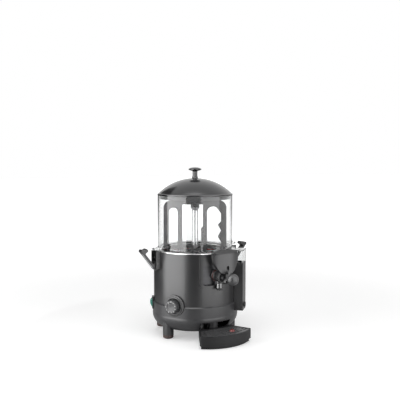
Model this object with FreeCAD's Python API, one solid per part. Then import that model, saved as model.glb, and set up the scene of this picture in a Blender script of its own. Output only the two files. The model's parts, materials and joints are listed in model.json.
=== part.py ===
import FreeCAD, Part
import math
import os

# Hot drink dispenser: a heated round body, a clear bowl with a stirring paddle, a piston tap and a drip tray.
# Millimetres. +Z is up, the tap faces -Y, and the origin is on the bowl's axis at the surface it stands on.

V = FreeCAD.Vector
UP = V(0, 0, 1)
AXIS = V(0, 0, 0)

# Clearances
running = 0.05
loose = 0.3
sliding = 0.5

# Casing
shell_radius = 115.0
shell_wall = 3.0
belly_step = 3.0
belly_radius = shell_radius + belly_step
base_inset = 20.0
base_radius = belly_radius - base_inset
base_height = 24.0
belly_height = 62.0
seam_height = 92.0
shell_rise = 139.0
shell_top = seam_height + shell_rise
plate_thickness = 2.0
lip_depth = 6.0
lip_height = 3.0

# Feet and tray column
foot_radius = 14.5
foot_height = 46.0
pad_height = 10.0
front_foot_ring = base_radius + 4.6
front_foot_angle = -15.26
rear_foot_ring = base_radius + 8.5
rear_foot_angle = 55.71
column_radius = 13.5
column_inset = 4.0
column_y = -(base_radius - column_inset)
column_top = 62.0
groove_radius = 11.5
sole_length = 62.0
sole_width = 30.0
sole_height = 8.0
flare_height = 5.0
groove_height = 3.0
vent_half_angle = 23.0
vent_low = 31.0
vent_high = 50.0

# Tanks
rim_stand = 2.0
rim_height = shell_top + rim_stand
rim_thickness = 5.0
rim_width = 18.0
mouth_radius = shell_radius - shell_wall - rim_width
tank_wall = 2.0
tank_depth = 73.0
tank_floor = rim_height - tank_depth
tank_corner = 10.0
bath_gap = 11.0
bath_wall = 1.5
bath_radius = mouth_radius + tank_wall + bath_gap
bath_depth = 30.0
bath_floor = tank_floor - bath_depth
element_radius = 70.0
element_rod = 4.0
element_height = bath_floor + 13.0
sensor_radius = 3.0

# Stirrer drive
shaft_radius = 4.0
tube_radius = 8.5
tube_wall = 1.2
tube_rise = 175.0
tube_top = tank_floor + tube_rise
collar_height = 8.0
collar_radius = 12.3
bush_length = 12.0
head_low_radius = 12.4
head_top_radius = 11.0
head_length = 34.0
head_top = tube_top + collar_height + head_length
gearbox_top = 90.0
gearbox_height = 30.0
motor_radius = 29.0

# Paddle
paddle_half_width = 88.0
hub_roof = 10.0
paddle_top = head_top + hub_roof
paddle_thickness = 5.0
paddle_turn = -30.0
paddle_gap = 2.0
hub_radius = 15.0
hub_height = 35.0
guide_gap = 0.8
guide_wall = 3.0
guide_height = 12.0

# Bowl and lid
bowl_seat = 10.0
bowl_radius = mouth_radius + bowl_seat
bowl_wall = 4.0
bowl_height = 149.0
bowl_corner = 6.0
neck_gap = 1.0
neck_radius = mouth_radius - neck_gap
neck_wall = 3.0
neck_depth = 22.0
gasket_height = 5.0
lug_length = 27.0
lug_reach = bowl_radius + lug_length
lug_half_width = 9.0
lug_lift = 3.5
lug_low = rim_height + lug_lift
lug_thickness = 5.8
lug_high = lug_low + lug_thickness
lid_rise = 46.0
lid_wall = 3.0
skirt_depth = 11.0
lid_knob_radius = 18.0
lid_stem_radius = 6.6
lid_stem_length = 20.0
lid_cap_height = 10.0

# Front: panel, tap and shield
front_angle = -90.0
panel_half_angle = 24.0
recess_half_angle = 19.6
frame_half_angle = 20.5
panel_top = shell_top - 3.0
panel_low = panel_top - 85.0
panel_corner = 9.0
recess_low = panel_low + 6.0
recess_high = panel_top - 26.0
recess_corner = 6.0
frame_edge = 2.0
liner_thickness = 1.2
tap_rise = 14.0
tap_height = tank_floor + tap_rise
outlet_radius = 11.0
outlet_bore = 8.0
tap_radius = 15.0
tap_bore = 12.0
nut_thickness = 4.6
o_ring_thickness = 4.4
nut_face = -(bath_radius + liner_thickness)
tap_back = nut_face - nut_thickness - o_ring_thickness
tap_length = 31.8
tap_front = tap_back - tap_length
tap_back_wall = 2.3
spout_y = tap_back - 10.3
spout_radius = 9.5
spout_bore = 6.5
spout_drop = 36.0
spout_low = tap_height - spout_drop
spout_joint = tap_height - 18.0
clevis_y = tap_front - 8.0
clevis_gap = 3.0
clevis_pin_radius = 2.5
piston_front = clevis_y - 6.0
pivot_rise = 50.0
pivot_height = tap_height + pivot_rise
pivot_radius = 3.0
lever_half_width = 2.5
lever_rod = 2.6
elbow_height = pivot_height - 21.0
ball_y = clevis_y - 34.0
ball_height = pivot_height - 48.0
ball_radius = 15.0
shield_back = clevis_y - 8.5
shield_thickness = 3.0
shield_curve = 80.0
shield_top = pivot_height + 15.5
shield_corner_height = pivot_height + 7.0
shield_low = pivot_height - 36.0
shield_top_half = 38.0
shield_low_half = 20.0
shield_slot_half = 3.5
shield_slot_top = elbow_height + 4.5
hood_crest = pivot_height + 24.0
hood_rim_depth = 16.0
hood_wall = 3.0
hood_half_width = 14.0
hood_slot_half = 7.0

# Latches
latch_open_angle = 38.0
latch_stand = 8.5
latch_pivot_x = shell_radius + latch_stand
latch_drop = 32.0
latch_pivot_z = rim_height - latch_drop
latch_pin_radius = 2.5
latch_half_width = 10.0
bracket_half_width = 15.0
bracket_wall = 3.5
bracket_low = latch_pivot_z - 15.0
bracket_high = rim_height + 1.0
bracket_reach = latch_pivot_x + 4.5

# Controls on the left
knob_angle = -148.0
knob_height = 94.0
bezel_radius = 29.0
bezel_face = belly_radius + 3.0
knob_radius = 18.0
knob_length = 16.0
knob_face = bezel_face + knob_length
spindle_radius = 3.0
switch_angle = 160.0
switch_height = 85.0
switch_half_height = 17.0
switch_half_width = 9.0
rocker_tilt = 7.0
rocker_pivot = belly_radius - 5.0
rocker_half_height = 12.0
rocker_half_width = 6.0
rocker_pin_radius = 2.0

# Water gauge at the right front
gauge_angle = -46.0
gauge_depth = 22.0
gauge_reach = belly_radius + gauge_depth
gauge_half_width = 20.0
gauge_low = seam_height - 23.0
gauge_top = rim_height + 2.0
gauge_joint = gauge_top - 35.0
gauge_wall = 2.5
gauge_pipe_radius = 5.0
gauge_pipe_height = bath_floor + 10.0

# Cable gland at the back
gland_angle = 90.0
gland_height = 56.0
gland_radius = 8.0
gland_bore = 4.0

# Drip tray
tray_tip_y = column_y + 6.0
tray_back_y = column_y - 18.0
tray_length = 76.0
tray_front_y = tray_back_y - tray_length
tray_corner_y = tray_front_y + 28.0
tray_corner_x = 77.5
prong_inner_x = 21.0
prong_outer_x = 40.0
tray_low = 8.0
tray_high = 33.0
tray_wall = 2.5
ledge_width = 3.0
grille_thickness = 3.0
grille_drop = 1.0
grille_gap = 1.2
skirt_inset = 4.0
float_x = 23.0
float_y = -154.0
float_radius = 7.0
slot_width = 4.5
slot_pitch = 9.0


# Shapes shared by the pieces

def cylinder(radius, low, high, x=0.0, y=0.0):
    return Part.makeCylinder(radius, high - low, V(x, y, low))


def radial_cylinder(radius, inner, outer, z, y=0.0):
    return Part.makeCylinder(radius, outer - inner, V(inner, y, z), V(1, 0, 0))


def front_cylinder(radius, back, front, z):
    return Part.makeCylinder(radius, back - front, V(0, back, z), V(0, -1, 0))


def cross_cylinder(radius, half_length, y, z):
    return Part.makeCylinder(radius, 2 * half_length, V(-half_length, y, z), V(1, 0, 0))


def side_cylinder(radius, half_length, x, z):
    return Part.makeCylinder(radius, 2 * half_length, V(x, -half_length, z), V(0, 1, 0))


def block(x_low, x_high, y_low, y_high, z_low, z_high):
    return Part.makeBox(x_high - x_low, y_high - y_low, z_high - z_low, V(x_low, y_low, z_low))


def outline(points, place):
    """A closed face through points; a point marked "mid" is the middle of an arc between its neighbours."""
    edges = []
    loop = points + [points[0]]
    i = 0
    while i < len(loop) - 1:
        here = place(*loop[i][:2])
        if len(loop[i + 1]) == 3:
            edges.append(Part.Arc(here, place(*loop[i + 1][:2]), place(*loop[i + 2][:2])).toShape())
            i += 2
        else:
            edges.append(Part.LineSegment(here, place(*loop[i + 1][:2])).toShape())
            i += 1
    return Part.Face(Part.Wire(edges))


def turned(points):
    face = outline(points, lambda r, z: V(r, 0, z))
    return face.revolve(AXIS, UP, 360)


def sector(inner, outer, centre, half_angle, low, high):
    face = outline([(inner, low), (outer, low), (outer, high), (inner, high)], lambda r, z: V(r, 0, z))
    solid = face.revolve(AXIS, UP, 2 * half_angle)
    solid.rotate(AXIS, UP, centre - half_angle)
    return solid


def side_plate(points, x_low, x_high):
    """A flat plate drawn in the Y-Z plane."""
    face = outline(points, lambda y, z: V(x_low, y, z))
    return face.extrude(V(x_high - x_low, 0, 0))


def front_plate(points, y_back, thickness):
    """A flat plate drawn in the X-Z plane, growing towards the front."""
    face = outline(points, lambda x, z: V(x, y_back, z))
    return face.extrude(V(0, -thickness, 0))


def ground_plate(points, low, high):
    face = outline(points, lambda x, y: V(x, y, low))
    return face.extrude(V(0, 0, high - low))


def swung(shape, angle):
    """A copy turned about the machine's axis, from +X to the given angle."""
    copy = shape.copy()
    copy.rotate(AXIS, UP, angle)
    return copy


def hexagon(radius, z):
    corners = [V(radius * math.cos(math.radians(a)), radius * math.sin(math.radians(a)), z)
               for a in range(0, 361, 60)]
    return Part.makePolygon(corners)


def hex_taper(low_radius, high_radius, low, high):
    return Part.makeLoft([hexagon(low_radius, low), hexagon(high_radius, high)], True, True)


def joined(shapes):
    first, rest = shapes[0], shapes[1:]
    return first.fuse(rest).removeSplitter() if rest else first


def save(name, shape):
    solids = shape.Solids
    if not shape.isValid() or not solids:
        print("CHECK", name, "valid", shape.isValid(), "solids", len(solids))
    whole = solids[0] if len(solids) == 1 else Part.makeCompound(solids)
    whole.exportStep("parts/" + name + ".step")
    print(name, len(solids), round(sum(s.Volume for s in solids)))


# Casing

def belly(offset):
    """The lower casing's outer profile drawn inwards by offset, as (r, z) points from the bottom up."""
    low = base_radius - offset
    high = belly_radius - offset
    mid = low + (high - low) * math.sin(math.radians(46))
    mid_z = belly_height - (belly_height - base_height) * math.cos(math.radians(46))
    return [(low, base_height), (mid, mid_z, "mid"), (high, belly_height)]


def arc_reach(points):
    """The greatest r of the circle through three (r, z) points."""
    (r1, z1), (r2, z2), (r3, z3) = [p[:2] for p in points]
    d = 2 * (r1 * (z2 - z3) + r2 * (z3 - z1) + r3 * (z1 - z2))
    s1, s2, s3 = r1 * r1 + z1 * z1, r2 * r2 + z2 * z2, r3 * r3 + z3 * z3
    centre_r = (s1 * (z2 - z3) + s2 * (z3 - z1) + s3 * (z1 - z2)) / d
    centre_z = (s1 * (r3 - r2) + s2 * (r1 - r3) + s3 * (r2 - r1)) / d
    return centre_r + math.hypot(r1 - centre_r, z1 - centre_z)


def casing_envelope():
    """Everything inside the casing's outer surface, which pieces outside it are cut to."""
    low = turned([(0, base_height)] + belly(0) + [
        (belly_radius, seam_height - shell_wall),
        (shell_radius, seam_height),
        (0, seam_height)])
    return low.fuse(cylinder(shell_radius, seam_height - 1, shell_top))


def casing_room():
    """The lower casing grown by a clearance, which the drip tray is cut to."""
    grown = belly(-sliding)
    low = base_height - sliding
    return turned([(0, low), (grown[0][0], low)] + grown + [
        (belly_radius + sliding, seam_height), (0, seam_height)])


def knob_hole():
    return swung(radial_cylinder(bezel_radius, shell_radius - 35, knob_face, knob_height), knob_angle)


def switch_hole():
    box = block(shell_radius - 25, belly_radius + 12, -switch_half_width, switch_half_width,
                switch_height - switch_half_height, switch_height + switch_half_height)
    return swung(box, switch_angle)


def gauge_pipe_hole():
    hole = radial_cylinder(gauge_pipe_radius, bath_radius - 7, belly_radius + 7, gauge_pipe_height)
    return swung(hole, gauge_angle)


def gland_hole():
    hole = radial_cylinder(gland_radius, base_radius - 8, belly_radius + 12, gland_height)
    return swung(hole, gland_angle)


def lower_shell():
    solid = turned([(0, base_height)] + belly(0) + [
        (belly_radius, seam_height - shell_wall),
        (shell_radius, seam_height),
        (0, seam_height)])
    lip_radius = shell_radius - lip_depth
    cavity = turned([(0, base_height)] + belly(shell_wall) + [
        (belly_radius - shell_wall, seam_height - lip_height - lip_depth),
        (lip_radius, seam_height - lip_height),
        (lip_radius, seam_height),
        (0, seam_height)])
    vents = sector(base_radius - 18, belly_radius + 7, front_angle, vent_half_angle, vent_low, vent_high)
    column = cylinder(column_radius, 0, column_top, 0, column_y)
    return solid.cut([cavity, vents, column, knob_hole(), switch_hole(), gland_hole()])


def upper_shell():
    wall = cylinder(shell_radius, seam_height, shell_top).cut(
        cylinder(shell_radius - shell_wall, seam_height - 1, shell_top + 1))
    window = sector(bath_radius - 7, belly_radius + 7, front_angle, frame_half_angle,
                    recess_low - frame_edge, recess_high + frame_edge)
    return wall.cut([window, knob_hole(), switch_hole(), gauge_pipe_hole()])


def bottom_plate():
    plate = cylinder(base_radius - shell_wall, base_height, base_height + plate_thickness)
    column = cylinder(column_radius, 0, column_top, 0, column_y)
    return plate.cut(column)


def foot_place(ring, angle):
    return ring * math.cos(math.radians(angle)), ring * math.sin(math.radians(angle))


foot_places = [(side * x, y) for side in (-1, 1) for x, y in (
    foot_place(front_foot_ring, front_foot_angle), foot_place(rear_foot_ring, rear_foot_angle))]


def feet():
    envelope = casing_envelope()
    return [cylinder(foot_radius, pad_height, foot_height, x, y).cut(envelope) for x, y in foot_places]


def foot_pads():
    pads = []
    for x, y in foot_places:
        pad = cylinder(foot_radius, 0, pad_height, x, y)
        bottom = [e for e in pad.Edges if e.BoundBox.ZMax < 0.01]
        pads.append(pad.makeFillet(2.5, bottom))
    return pads


def tray_column():
    stem = cylinder(column_radius, sole_height, column_top, 0, column_y)
    groove_low = sole_height + flare_height
    groove = cylinder(column_radius + 1, groove_low, groove_low + groove_height, 0, column_y).cut(
        cylinder(groove_radius, groove_low, groove_low + groove_height, 0, column_y))
    flare = Part.makeCone(sole_width / 2, column_radius, flare_height, V(0, column_y, sole_height))
    end_x = (sole_length - sole_width) / 2
    half = sole_width / 2
    sole = ground_plate([
        (-end_x, column_y - half), (end_x, column_y - half), (end_x + half, column_y, "mid"),
        (end_x, column_y + half), (-end_x, column_y + half),
        (-end_x - half, column_y, "mid")], 0, sole_height)
    return joined([stem.cut(groove), flare, sole])


# Tanks and rim

def tap_way(radius):
    return front_cylinder(radius, -(mouth_radius - 14), -(bath_radius + 5), tap_height)


def rim_ring():
    ring = cylinder(shell_radius - shell_wall, rim_height - rim_thickness, rim_height)
    return ring.cut(cylinder(mouth_radius, rim_height - rim_thickness, rim_height))


def product_tank():
    top = rim_height - rim_thickness
    inner = mouth_radius
    outer = inner + tank_wall
    bend = 1 - math.sqrt(0.5)
    low = tank_floor - tank_wall
    out_r = tank_corner + tank_wall
    wall = turned([
        (tube_radius, low), (outer - out_r, low), (outer - out_r * bend, low + out_r * bend, "mid"),
        (outer, low + out_r), (outer, top), (inner, top), (inner, tank_floor + tank_corner),
        (inner - tank_corner * bend, tank_floor + tank_corner * bend, "mid"),
        (inner - tank_corner, tank_floor), (tube_radius, tank_floor)])
    return wall.cut(tap_way(outlet_radius))


def element_ends():
    points = []
    for a in (10, 350):
        turn = math.radians(a)
        points.append((element_radius * math.cos(turn), element_radius * math.sin(turn)))
    return points


sensor_place = (-48.0, -30.0)


def bath_tank():
    top = rim_height - rim_thickness
    low = bath_floor - plate_thickness
    wall = turned([
        (tube_radius, low), (bath_radius, low), (bath_radius, top), (bath_radius - bath_wall, top),
        (bath_radius - bath_wall, bath_floor), (tube_radius, bath_floor)])
    holes = [cylinder(element_rod, low - 1, bath_floor + 1, x, y) for x, y in element_ends()]
    holes.append(cylinder(sensor_radius, low - 1, bath_floor + 1, *sensor_place))
    return wall.cut(holes + [tap_way(outlet_radius), gauge_pipe_hole()])


def heating_element():
    loop = Part.makeTorus(element_radius, element_rod, V(0, 0, element_height), UP, 0, 360, 340)
    loop.rotate(AXIS, UP, 10)
    pieces = [loop]
    for x, y in element_ends():
        pieces.append(cylinder(element_rod, bath_floor - 14, element_height, x, y))
        pieces.append(Part.makeSphere(element_rod, V(x, y, element_height)))
    return joined(pieces)


def temperature_sensor():
    return cylinder(sensor_radius, bath_floor - 10, tank_floor - 8, *sensor_place)


# Stirrer drive

def shaft_tube():
    tube = cylinder(tube_radius, bath_floor - plate_thickness, tube_top)
    return tube.cut(cylinder(tube_radius - tube_wall, bath_floor - plate_thickness, tube_top))


def tube_collar():
    cone = Part.makeCone(tube_radius, collar_radius, collar_height, V(0, 0, tube_top))
    return cone.cut(cylinder(tube_radius - tube_wall, tube_top, tube_top + collar_height))


def tube_bushes():
    bushes = []
    for low in (bath_floor - plate_thickness, tube_top - bush_length):
        outer = cylinder(tube_radius - tube_wall, low, low + bush_length)
        bushes.append(outer.cut(cylinder(shaft_radius + running, low, low + bush_length)))
    return bushes


def drive_shaft():
    return cylinder(shaft_radius, gearbox_top - 6, head_top - 15)


def shaft_coupling():
    low = gearbox_top + 6
    return cylinder(9, low, low + 20).cut(cylinder(shaft_radius, low, low + 20))


def drive_head():
    low = tube_top + collar_height + loose
    head = hex_taper(head_low_radius, head_top_radius, low, head_top)
    return swung(head.cut(cylinder(shaft_radius, low, head_top - 15)), paddle_turn)


def gear_motor():
    return cylinder(motor_radius, base_height + plate_thickness, gearbox_top - gearbox_height)


def gearbox():
    case = block(-32, 32, -27, 27, gearbox_top - gearbox_height, gearbox_top)
    boss = cylinder(10, gearbox_top, gearbox_top + 4)
    bore = cylinder(shaft_radius + running, gearbox_top - 6.5, gearbox_top + 4)
    return joined([case, boss]).cut(bore)


def motor_bracket():
    plate = block(-50, 50, -40, 40, gearbox_top, gearbox_top + 3).cut(
        cylinder(10, gearbox_top, gearbox_top + 3))
    legs = []
    for x in (-50, 44):
        for y in (-40, 34):
            legs.append(block(x, x + 6, y, y + 6, base_height + plate_thickness, gearbox_top))
    return joined([plate] + legs)


# Paddle, drawn in the X-Z plane and then turned to its rest angle

def arch(x_low, x_high, low, high):
    """A gap with a round top."""
    r = (x_high - x_low) / 2
    return [(x_low, low), (x_high, low), (x_high, high - r), (x_low + r, high, "mid"), (x_low, high - r)]


def paddle():
    w = paddle_half_width
    top = paddle_top
    foot = tank_floor + paddle_gap
    k = w / 92.0
    blade = [
        (-22, top), (22, top), (80 * k, top - 27), (89 * k, top - 34, "mid"), (w, top - 48),
        (w, top - 156), (74 * k, top - 180), (71 * k, top - 192), (71 * k, foot), (-71 * k, foot),
        (-71 * k, top - 192), (-74 * k, top - 180), (-w, top - 156), (-w, top - 48),
        (-89 * k, top - 34, "mid"), (-80 * k, top - 27)]
    windows = [
        [(-76 * k, top - 58), (-63 * k, top - 45, "mid"), (-51 * k, top - 58), (-51 * k, top - 157),
         (-60 * k, top - 169, "mid"), (-68 * k, top - 163), (-76 * k, top - 150)],
        [(-37 * k, top - 36), (22, top - 36), (22, top - 96),
         (17, top - 100), (17, top - 157), (-37 * k, top - 157)],
        [(-13, top - 166), (15, top - 166), (15, top - 209), (-13, top - 209)],
        [(35 * k, top - 55), (49 * k, top - 42, "mid"), (62 * k, top - 44), (76 * k, top - 60),
         (76 * k, top - 82), (66 * k, top - 91), (76 * k, top - 107), (66 * k, top - 123),
         (76 * k, top - 138), (76 * k, top - 150), (65 * k, top - 162), (35 * k, top - 162)],
        arch(-54 * k, -35 * k, foot - 1, top - 179),
        arch(35 * k, 54 * k, foot - 1, top - 179),
        [(-13, foot - 1), (15, foot - 1), (15, foot + 2), (-13, foot + 2)]]
    back = paddle_thickness / 2
    plate = front_plate(blade, back, paddle_thickness)
    plate = plate.cut([front_plate(window, back + 1, paddle_thickness + 2) for window in windows])
    guide_bore = head_low_radius + guide_gap
    guide_places = [(foot + 2, foot + 2 + guide_height), (top - 168, top - 156)]
    hub = cylinder(hub_radius, top - hub_height, top)
    guides = [cylinder(guide_bore + guide_wall, low, high) for low, high in guide_places]
    plate = joined([plate, hub] + guides)
    bores = [cylinder(guide_bore, low - 4, high + 4) for low, high in guide_places]
    low = tube_top + collar_height + loose
    socket = hex_taper(head_low_radius + sliding, head_top_radius + sliding, low, head_top + loose)
    plate = plate.cut(bores + [socket])
    return swung(plate, paddle_turn)


# Bowl and lid

bowl_top = rim_height + bowl_height


def gasket_low():
    return rim_height - neck_depth + 2


def bowl():
    r = bowl_radius
    inner = r - bowl_wall
    neck_in = neck_radius - neck_wall
    bend = 1 - math.sqrt(0.5)
    floor = rim_height + bowl_wall
    low = gasket_low()
    groove = neck_radius - 1.2
    glass = turned([
        (neck_in, rim_height - neck_depth), (neck_radius, rim_height - neck_depth), (neck_radius, low),
        (groove, low), (groove, low + gasket_height), (neck_radius, low + gasket_height),
        (neck_radius, rim_height), (r - bowl_corner, rim_height),
        (r - bowl_corner * bend, rim_height + bowl_corner * bend, "mid"), (r, rim_height + bowl_corner),
        (r, bowl_top), (inner, bowl_top), (inner, floor + bowl_corner),
        (inner - 3 * bend, floor + bowl_corner - 3 * (1 - bend), "mid"), (inner - 3, floor),
        (neck_in, floor)])
    lug = block(inner + 1, lug_reach, -lug_half_width, lug_half_width, lug_low, lug_high)
    return joined([glass, lug, swung(lug, 180)])


def bowl_gasket():
    low = gasket_low()
    ring = cylinder(mouth_radius - loose, low, low + gasket_height)
    return ring.cut(cylinder(neck_radius - 1.2, low, low + gasket_height))


def dome(apex, rim_radius, rim_z):
    """The arc of the lid's dome from its rim to its apex, as (r, z) points."""
    rise = apex - rim_z
    curve = (rim_radius ** 2 + rise ** 2) / (2 * rise)
    mid = rim_radius * 0.54
    return [(rim_radius, rim_z), (mid, apex - curve + math.sqrt(curve ** 2 - mid ** 2), "mid"), (0, apex)]


def lid_screw_hole():
    return cylinder(2, bowl_top, bowl_top + lid_rise + lid_stem_length - 4)


def lid():
    apex = bowl_top + lid_rise
    skirt = bowl_radius - bowl_wall - 0.7
    inner = skirt - lid_wall
    outside = dome(apex, bowl_radius - 1, bowl_top + 4.5)
    inside = dome(apex - lid_wall, inner, bowl_top + 2.5)
    profile = outside + inside[::-1] + [
        (inner, bowl_top - skirt_depth), (skirt, bowl_top - skirt_depth), (skirt, bowl_top),
        (bowl_radius + 1, bowl_top), (bowl_radius + 1, bowl_top + 3)]
    return turned(profile).cut(lid_screw_hole())


def lid_knob():
    low = bowl_top + lid_rise
    cap = low + lid_stem_length
    top = cap + lid_cap_height
    knob = turned([
        (0, low), (lid_stem_radius + 3, low), (lid_stem_radius + 0.6, low + 2.4, "mid"),
        (lid_stem_radius, low + 6), (lid_stem_radius, cap), (lid_knob_radius - 3, cap + 1),
        (lid_knob_radius, cap + 4, "mid")] + dome(top, lid_knob_radius - 2, cap + 6.5))
    return knob.cut(lid_screw_hole())


def lid_screw():
    under = bowl_top + lid_rise - lid_wall - loose
    stem = cylinder(2, under, bowl_top + lid_rise + lid_stem_length - 4)
    return joined([stem, cylinder(5, under - 3, under)])


# Front panel, tap and shield

def rounded_window(half_angle, low, high, corner):
    """A prism through the front whose lower corners are round, as wide as the angle spans on the panel."""
    half = belly_radius * math.sin(math.radians(half_angle))
    bend = corner * (1 - math.sqrt(0.5))
    return front_plate([
        (-half + corner, low), (half - corner, low), (half - bend, low + bend, "mid"), (half, low + corner),
        (half, high), (-half, high), (-half, low + corner),
        (-half + bend, low + bend, "mid")], -(mouth_radius - 4), 50)


def front_panel():
    face = cylinder(belly_radius, panel_low, panel_top).cut(cylinder(shell_radius, panel_low, panel_top))
    face = face.common(rounded_window(panel_half_angle, panel_low, panel_top, panel_corner))
    liner_face = bath_radius + liner_thickness
    frame = sector(liner_face, belly_radius, front_angle, frame_half_angle,
                   recess_low - frame_edge, recess_high + frame_edge)
    window = rounded_window(recess_half_angle, recess_low, recess_high, recess_corner)
    return joined([face, frame]).cut(window)


def recess_liner():
    liner = sector(bath_radius, bath_radius + liner_thickness, front_angle, frame_half_angle,
                   recess_low - frame_edge, recess_high + frame_edge)
    return liner.cut(tap_way(outlet_radius))


def tap_outlet():
    start = -(mouth_radius - 14)
    tube = front_cylinder(outlet_radius, start, tap_back, tap_height)
    tube = tube.cut(front_cylinder(outlet_bore, start, tap_back, tap_height))
    return tube.cut(cylinder(mouth_radius, tap_height - 30, tap_height + 30))


def tap_nut():
    front = tap_back + o_ring_thickness
    nut = Part.Face(hexagon(17, 0)).extrude(V(0, 0, nut_face - front))
    nut.rotate(AXIS, V(1, 0, 0), 90)
    nut.translate(V(0, nut_face, tap_height))
    return nut.cut(front_cylinder(outlet_radius, nut_face, front, tap_height))


def tap_o_ring():
    minor = o_ring_thickness / 2
    return Part.makeTorus(outlet_radius + minor + 0.2, minor, V(0, tap_back + minor, tap_height), V(0, 1, 0))


def tap_body():
    barrel = front_cylinder(tap_radius, tap_back, tap_front, tap_height)
    spout = cylinder(spout_radius, spout_joint, tap_height, 0, spout_y)
    bore = front_cylinder(tap_bore, tap_back - tap_back_wall, tap_front, tap_height)
    inlet = front_cylinder(outlet_bore, tap_back, tap_front, tap_height)
    port = cylinder(spout_bore, spout_joint, tap_height, 0, spout_y)
    return joined([barrel, spout]).cut([bore, inlet, port])


def tap_spout():
    tube = cylinder(spout_radius - 1, spout_low + 6, spout_joint, 0, spout_y)
    return tube.cut(cylinder(spout_bore, spout_low, spout_joint, 0, spout_y))


def spout_tip():
    tip = Part.makeCone(spout_radius - 2, spout_radius - 0.5, 6, V(0, spout_y, spout_low))
    return tip.cut(cylinder(spout_bore - 0.5, spout_low, spout_low + 6, 0, spout_y))


piston_back = tap_back - tap_back_wall - 0.8
seal_places = (piston_back - 1.6, spout_y - spout_bore - 2.4)


def seal_ring(y, outer, inner):
    ring = front_cylinder(outer, y + 1.2, y - 1.2, tap_height)
    return ring.cut(front_cylinder(inner, y + 1.2, y - 1.2, tap_height))


def tap_piston():
    radius = tap_bore - loose
    rod = front_cylinder(radius, piston_back, piston_front, tap_height)
    slot = block(-clevis_gap, clevis_gap, piston_front, clevis_y + 11,
                 tap_height - tap_bore, tap_height + tap_bore)
    grooves = [seal_ring(y, radius + 1, radius - 1.5) for y in seal_places]
    rod = rod.cut(grooves + [slot])
    pin = cross_cylinder(clevis_pin_radius, radius - 2, clevis_y, tap_height)
    return joined([rod, pin])


def piston_seals():
    radius = tap_bore - loose
    return [seal_ring(y, radius + 0.1, radius - 1.5) for y in seal_places]


def shield_sides(inset):
    """The right-hand edge that the shield and the hood share, from its foot up, as (x, z) points."""
    low = shield_low_half - inset
    high = shield_top_half - inset
    mid = low + (high - low) * 0.7
    return [(low - 6, shield_low), (low, shield_low + 4),
            (mid, (shield_low + shield_corner_height) / 2 + 2, "mid"), (high, shield_corner_height)]


def mirrored(points):
    """Points on the right, a last one on the axis, and their mirror images in reverse."""
    back = [(-p[0],) + tuple(p[1:]) for p in points[::-1]]
    return points + back[1:] if points[-1][0] == 0 else points + back


shield_face_y = shield_back - shield_thickness
shield_centre_y = shield_face_y + shield_curve


def hood_outline(inset):
    shoulder = shield_top_half - inset
    return mirrored(shield_sides(inset) + [
        (shoulder - 2, hood_crest - 7 - inset, "mid"), (shoulder - 8, hood_crest - 3 - inset),
        (0, hood_crest - inset, "mid")])


def front_hood():
    rim_y = shield_back + hood_rim_depth
    root = -(shell_radius - 10)
    neck = hood_half_width + 2
    side = side_plate([
        (root, pivot_height - 17), (root - 20, pivot_height - 12, "mid"), (rim_y, pivot_height - 16),
        (rim_y, shield_low), (shield_back, shield_low), (shield_back, shield_top - 2), (rim_y, hood_crest),
        (root, rim_height)], -shield_top_half, shield_top_half)
    across = front_plate(hood_outline(0), root + 5, 80)
    plan = ground_plate([
        (-neck, root + 5), (-neck, rim_y + 16), (-shield_top_half, rim_y), (-shield_top_half, shield_back),
        (shield_top_half, shield_back), (shield_top_half, rim_y), (neck, rim_y + 16), (neck, root + 5)],
        shield_low, hood_crest)
    curve = cylinder(shield_curve - shield_thickness, shield_low - 1, hood_crest + 1, 0, shield_centre_y)
    hood = side.common(across).common(plan).common(curve)
    rise = (hood_crest - shield_top + 2) / hood_rim_depth
    drop = 2 + hood_wall * math.hypot(1, rise)
    pocket_y = rim_y - hood_wall
    under = side_plate([
        (pocket_y, shield_low), (pocket_y, shield_top + (pocket_y - shield_back) * rise - drop),
        (shield_back - 1, shield_top - rise - drop), (shield_back - 1, shield_low)],
        -shield_top_half, shield_top_half)
    pocket = front_plate(hood_outline(hood_wall), pocket_y, 40).common(under).cut(
        block(-hood_half_width, hood_half_width, shield_back - 2, pocket_y + 1, 0, hood_crest + 1))
    body = cylinder(belly_radius, seam_height, panel_top).fuse(
        cylinder(shell_radius, panel_top, rim_height + 20))
    slot = block(-hood_slot_half, hood_slot_half, shield_back - 1, clevis_y + 17,
                 shield_low - 1, pivot_height + 11)
    pin = cross_cylinder(pivot_radius, 20, clevis_y, pivot_height)
    return hood.cut([body, slot, pin, pocket])


def front_shield():
    plate = front_plate(mirrored(shield_sides(0) + [
        (shield_top_half - 1.5, shield_corner_height + 4.5, "mid"), (shield_top_half - 6, shield_top - 2.5),
        (0, shield_top, "mid")]), shield_back + 65, 80)
    low = shield_low - 1
    curve = cylinder(shield_curve, low, shield_top + 1, 0, shield_centre_y).cut(
        cylinder(shield_curve - shield_thickness, low, shield_top + 1, 0, shield_centre_y))
    slot = front_plate(arch(-shield_slot_half, shield_slot_half, low, shield_slot_top), shield_back + 1,
                       shield_thickness + 2)
    return plate.common(curve).cut(slot)


def lever_reach():
    """Where the lever's rod leaves its arm, and the way from there to the ball's centre."""
    start = V(0, clevis_y, elbow_height)
    return start, V(0, ball_y, ball_height) - start


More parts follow.
